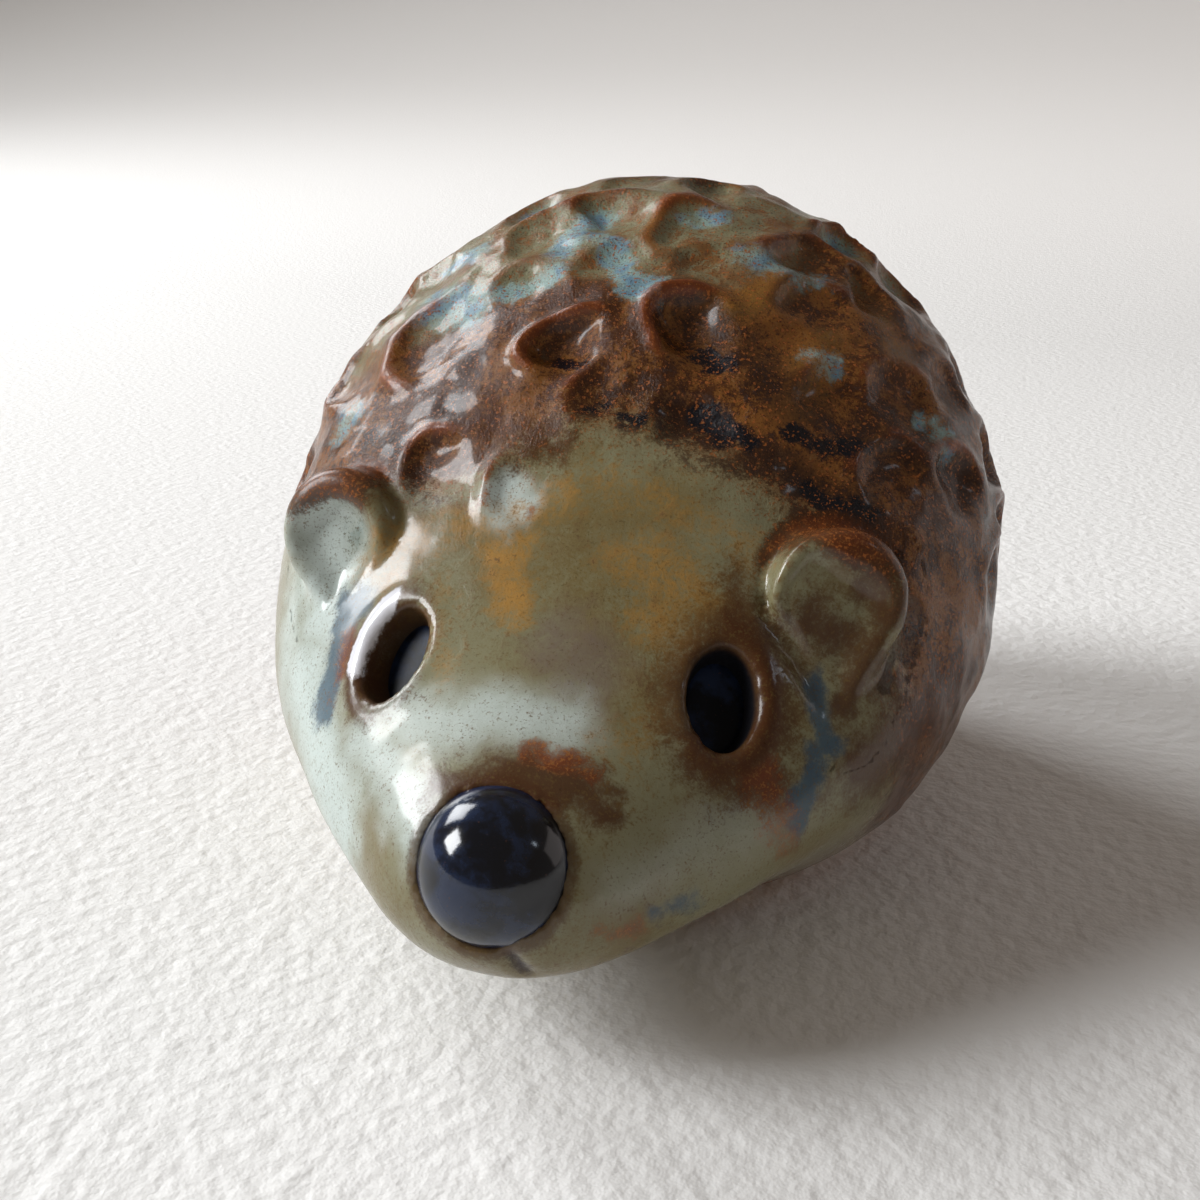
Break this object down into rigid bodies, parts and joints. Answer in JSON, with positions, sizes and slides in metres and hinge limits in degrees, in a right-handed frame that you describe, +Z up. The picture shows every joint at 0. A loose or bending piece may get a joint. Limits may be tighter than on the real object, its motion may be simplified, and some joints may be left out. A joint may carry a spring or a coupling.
{
  "type": "hedgehog figurine",
  "caption": "Hand-built glazed stoneware hedgehog figurine with scooped coat, dished ears, ball nose and a flat unglazed base.",
  "frame": {"origin": "middle of the bounding box, at the level of the flat base that rests on the table", "axes": "-Y out of the animal's face, +X to the animal's left, +Z up"},
  "size_m": [0.0525, 0.068, 0.0458],
  "materials": {
    "glazed_body": "gloss glaze, grey-green to rust brown",
    "glazed_ears": "gloss glaze with a rust rim",
    "bare_clay": "unglazed buff stoneware",
    "black_glaze": "glossy black iron glaze"
  },
  "bodies": {
    "root": {"body_shell": "glazed_body", "foot_slab": "bare_clay", "ear_left": "glazed_ears", "ear_right": "glazed_ears", "nose_ball": "black_glaze", "eye_left": "black_glaze", "eye_right": "black_glaze"}
  },
  "joints": []
}
